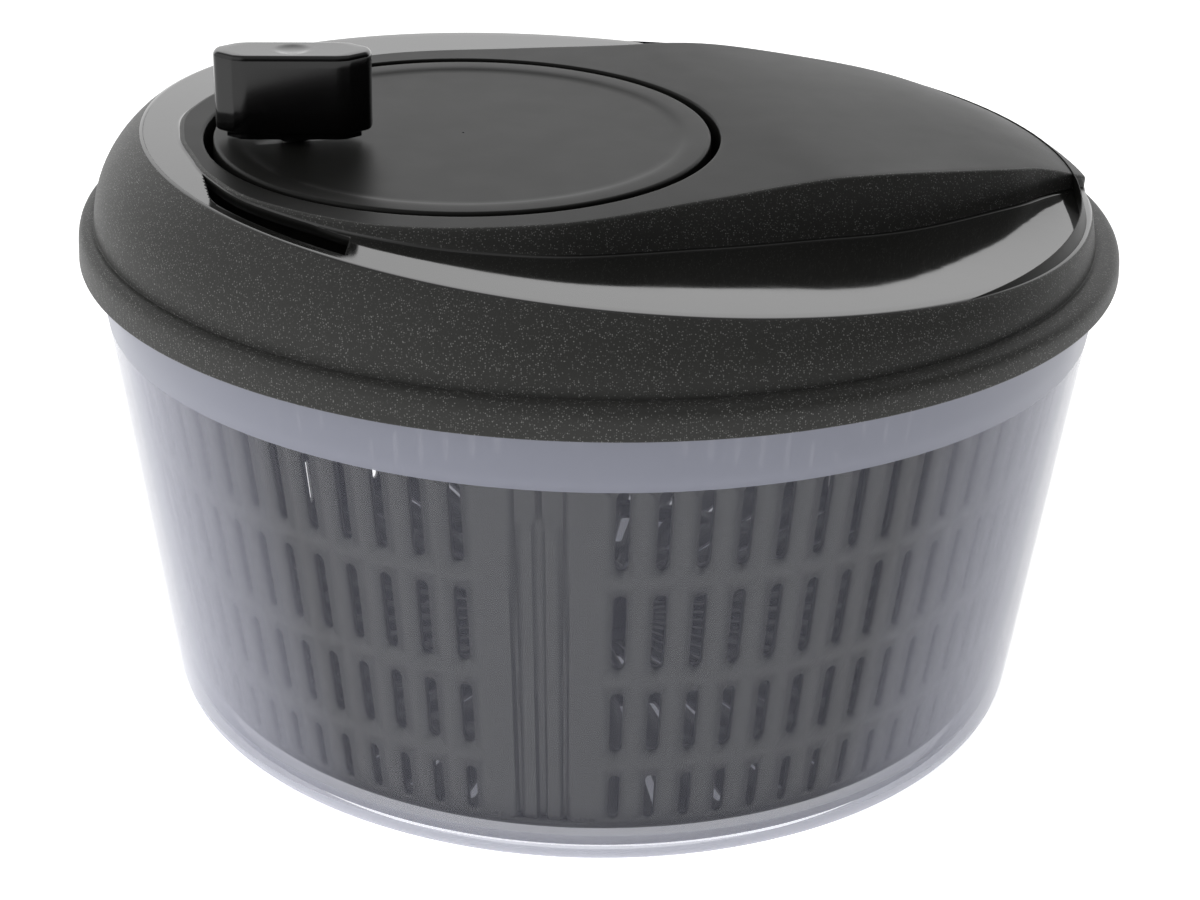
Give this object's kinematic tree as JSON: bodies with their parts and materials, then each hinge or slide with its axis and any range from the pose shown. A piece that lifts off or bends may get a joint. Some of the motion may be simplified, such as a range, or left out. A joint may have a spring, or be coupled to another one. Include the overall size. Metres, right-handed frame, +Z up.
{
  "type": "salad spinner",
  "caption": "Salad spinner with a milky see-through bowl, a slotted basket and a black lid whose flat crank disc turns the basket through an internal gear.",
  "frame": {"origin": "centre of the bowl's foot, on the surface that it stands on", "axes": "+Z up along the spin axis, +X along the lid's line of symmetry from the crank disc towards the nose"},
  "size_m": [0.26, 0.26, 0.1714],
  "materials": {
    "bowl_clear": "milky translucent plastic",
    "lid_black": "fine sparkle texture on the sides, smooth gloss in the channel",
    "disc_black": "satin",
    "knob_black": "polished",
    "basket_grey": "satin",
    "natural": "natural moulded",
    "steel": "turned"
  },
  "bodies": {
    "base": {"bowl": "bowl_clear"},
    "pivot": {"pivot_cap": "natural"},
    "basket": {"basket": "basket_grey"},
    "lid": {"lid_shell": "lid_black", "lid_liner": "lid_black", "liner_screw_1": "steel", "liner_screw_2": "steel", "liner_screw_3": "steel", "liner_screw_4": "steel", "shaft_bush": "natural"},
    "crank": {"crank_disc": "disc_black", "ring_gear": "natural", "ring_screw_1": "steel", "ring_screw_2": "steel", "ring_screw_3": "steel", "disc_axle": "steel", "axle_clip": "steel", "knob_pin": "knob_black", "knob_collar": "knob_black", "knob_clip": "steel"},
    "knob": {"knob": "knob_black"},
    "drive": {"pinion": "natural", "drive_spider": "basket_grey", "spider_washer": "steel", "spider_screw": "steel"}
  },
  "joints": [
    {"name": "basket_spin", "type": "hinge", "parent": "base", "child": "pivot", "pos_m": [0, 0, 0.018], "axis": [0, 0, 1], "continuous": true},
    {"name": "basket_lift", "type": "slide", "parent": "pivot", "child": "basket", "axis": [0, 0, 1], "range_m": [0, 0.15]},
    {"name": "lid_lift", "type": "slide", "parent": "base", "child": "lid", "axis": [0, 0, 1], "range_m": [0, 0.3]},
    {"name": "disc_spin", "type": "hinge", "parent": "lid", "child": "crank", "pos_m": [-0.036, 0, 0.1306], "axis": [0, 0, 1], "continuous": true},
    {"name": "knob_spin", "type": "hinge", "parent": "crank", "child": "knob", "pos_m": [-0.0765, 0.007, 0.1533], "axis": [0, 0, 1], "continuous": true},
    {"name": "drive_spin", "type": "hinge", "parent": "lid", "child": "drive", "pos_m": [0, 0, 0.132], "axis": [0, 0, 1], "continuous": true}
  ],
  "couplings": [
    {"joint": "disc_spin", "follows": "basket_spin", "ratio": 0.33333},
    {"joint": "drive_spin", "follows": "basket_spin", "ratio": 1},
    {"joint": "basket_lift", "follows": "lid_lift", "ratio": 0.5}
  ]
}
